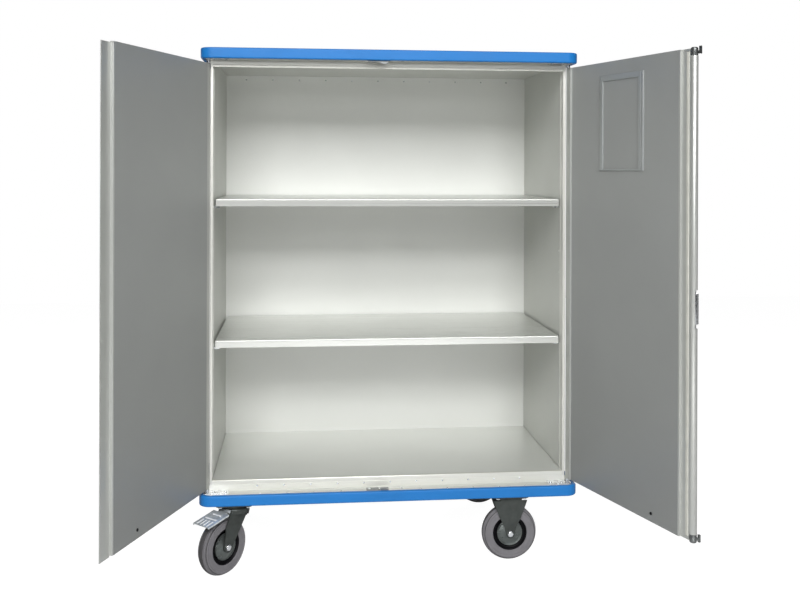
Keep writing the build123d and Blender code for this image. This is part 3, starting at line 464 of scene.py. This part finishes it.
# Tread of the pressed pedal, measured from its caster's swivel axis, and the ribs along it
TREAD_START, TREAD_END = (64.0, 217.0), (158.0, 198.0)
LONG_RIBS = [(124.0, 153.0, y) for y in (-24.0, -8.0, 8.0, 24.0)]
CROSS_RIBS = [(112.0, -27.0, 27.0), (84.0, -20.0, 20.0)]
RIB_WIDTH, RIB_RISE, RIB_SINK = 6.0, 1.8, 0.6
RIB_SOFT = 0.0004


def tread_point(x, y, lift):
    """A point above the tread, in millimetres of the caster's own frame."""
    share = (x - TREAD_START[0]) / (TREAD_END[0] - TREAD_START[0])
    return Vector((x, y, TREAD_START[1] + share * (TREAD_END[1] - TREAD_START[1]) + lift))


def rib_mesh(work, start, end, side, frame_of):
    """A bar with a rounded back from start to end, lying on the tread."""
    half = [(-1.0, -RIB_SINK), (-0.8, 0.5 * RIB_RISE), (-0.4, RIB_RISE)]
    section = half + [(-across, lift) for across, lift in reversed(half)]
    rows = []
    for x, y in (start, end):
        row = []
        for across, lift in section:
            shift = Vector(side) * across * RIB_WIDTH / 2
            row.append(work.verts.new(frame_of(tread_point(x + shift.x, y + shift.y, lift))))
        rows.append(row)
    count = len(section)
    for j in range(count):
        k = (j + 1) % count
        work.faces.new((rows[0][j], rows[1][j], rows[1][k], rows[0][k]))
    work.faces.new(rows[0])
    work.faces.new(list(reversed(rows[1])))


def make_pedal_ribs(end):
    """Embossed ribs that ride with a brake pedal, painted lighter than the pedal as a highlight."""
    swivel = Vector(JOINTS[f"swivel_{end}_turn"]["pos_m"])
    axle = Vector(JOINTS[f"pedal_{end}_press"]["axis"]).normalized()
    trail = Vector((axle.y, -axle.x, 0.0))

    def frame_of(point):
        place = Vector((swivel.x, swivel.y, 0.0)) + (trail * point.x + axle * point.y) * MM
        place.z = point.z * MM
        return place

    work = bmesh.new()
    for x0, x1, y in LONG_RIBS:
        rib_mesh(work, (x0, y), (x1, y), (0, 1, 0), frame_of)
    for x, y0, y1 in CROSS_RIBS:
        rib_mesh(work, (x, y0), (x, y1), (1, 0, 0), frame_of)
    bmesh.ops.recalc_face_normals(work, faces=work.faces)
    mesh = bpy.data.meshes.new(f"pedal_ribs_{end}")
    work.to_mesh(mesh)
    work.free()
    obj = bpy.data.objects.new(f"pedal_ribs_{end}", mesh)
    bpy.context.scene.collection.objects.link(obj)
    # Painted highlight: the ribs get the lighter zinc
    mesh.materials.append(MATERIALS["rib"])
    soften(obj, RIB_SOFT)
    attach(obj, f"pedal_{end}")


# --- stage, light and camera ---------------------------------------------------------------------


# Heights in metres of the floor that is seen and the one that only sends light back
SEEN_HEIGHT, BOUNCE_HEIGHT = -0.0004, -0.002


def glow(name, colour, strength):
    """Plain emission, for the white studio round the cart."""
    material = bpy.data.materials.new(name)
    material.use_nodes = True
    bsdf = material.node_tree.nodes["Principled BSDF"]
    bsdf.inputs["Base Color"].default_value = (*colour, 1)
    bsdf.inputs["Roughness"].default_value = 0.9
    bsdf.inputs["Specular IOR Level"].default_value = 0.1
    bsdf.inputs["Emission Color"].default_value = (1, 1, 1, 1)
    bsdf.inputs["Emission Strength"].default_value = strength
    return material


def plane(name, height, material):
    bpy.ops.mesh.primitive_plane_add(size=FLOOR_SIZE, location=(0, 0, height))
    piece = bpy.context.active_object
    piece.name = name
    piece.data.materials.append(material)
    return piece


def make_floor():
    """Pale floor: one plane is seen, and one below it sends the light back up."""
    seen = plane("floor", SEEN_HEIGHT, glow("floor_pale", (0.18, 0.18, 0.18), 0.97))
    seen.visible_diffuse = False
    seen.visible_glossy = False
    seen.visible_shadow = False
    under = plane("floor_bounce", BOUNCE_HEIGHT, glow("floor_light", (0.8, 0.8, 0.8), 0.0))
    under.visible_camera = False


def make_backdrop():
    """A white shell behind everything, seen directly but lighting nothing."""
    bpy.ops.mesh.primitive_uv_sphere_add(radius=FLOOR_SIZE, location=(0, 0, 0))
    shell = bpy.context.active_object
    shell.name = "backdrop"
    shell.data.materials.append(glow("backdrop_white", (0, 0, 0), 1.0))
    shell.visible_diffuse = False
    shell.visible_glossy = False
    shell.visible_shadow = False


def area_light(name, place, target, size, power):
    """A soft box of this size in metres and power in watts, turned towards its target."""
    data = bpy.data.lights.new(name, "AREA")
    data.shape = "RECTANGLE"
    data.size, data.size_y = size
    data.energy = power
    light = bpy.data.objects.new(name, data)
    light.location = place
    light.rotation_euler = (Vector(target) - Vector(place)).to_track_quat("-Z", "Y").to_euler()
    bpy.context.scene.collection.objects.link(light)


def make_lights():
    """Key light from the front, a strip at the roof's edge, a low one for the casters and two from behind."""
    world = bpy.data.worlds.new("studio")
    world.use_nodes = True
    background = world.node_tree.nodes["Background"]
    background.inputs["Color"].default_value = (1, 1, 1, 1)
    background.inputs["Strength"].default_value = 0.04
    bpy.context.scene.world = world
    middle = (MIDDLE_X, FRONT_Y + 0.3, 0.9)
    area_light("key", (MIDDLE_X - 0.4, FRONT_Y - 5.4, 4.4), middle, (4.8, 2.6), 470)
    area_light("strip", (MIDDLE_X - 0.2, FRONT_Y - 3.7, 2.15), (MIDDLE_X, FRONT_Y, 1.7), (3.2, 0.4), 9)
    foot = (MIDDLE_X, FRONT_Y + 0.6, 0.6)
    area_light("low", (MIDDLE_X + 0.1, FRONT_Y - 2.4, 0.1), foot, (1.8, 0.2), 6)
    for label, side in (("left", -1), ("right", 1)):
        area_light(f"rear_{label}", (MIDDLE_X + side * 3.4, FRONT_Y + 4.6, 1.5), middle, (2.6, 1.4), 60)


# Camera place in millimetres from the cabinet's middle plane, front face and the floor
CAMERA_X, CAMERA_Y, CAMERA_Z = -323.5, -3503.9, 1418.6
CAMERA_YAW, CAMERA_ROLL = -5.795, 0.186
CAMERA_LENS = 43.88
SENSOR_WIDTH = 36.0
CAMERA_SHIFT_Y = -0.164


def make_camera():
    data = bpy.data.cameras.new("camera")
    data.sensor_width = SENSOR_WIDTH
    data.lens = CAMERA_LENS
    data.shift_y = CAMERA_SHIFT_Y
    camera = bpy.data.objects.new("camera", data)
    place = Vector((MIDDLE_X + CAMERA_X * MM, FRONT_Y + CAMERA_Y * MM, CAMERA_Z * MM))
    turn = Matrix.Rotation(math.radians(CAMERA_YAW), 4, "Z") @ Matrix.Rotation(math.radians(90), 4, "X")
    roll = Matrix.Rotation(math.radians(CAMERA_ROLL), 4, "Z")
    camera.matrix_world = Matrix.Translation(place) @ turn @ roll
    bpy.context.scene.collection.objects.link(camera)
    bpy.context.scene.camera = camera


bpy.context.scene.view_settings.view_transform = "Standard"
make_camera()
make_lights()
make_floor()
make_backdrop()
dress_nodes()
make_wheels()
for end in ("front", "rear"):
    make_pedal_ribs(end)
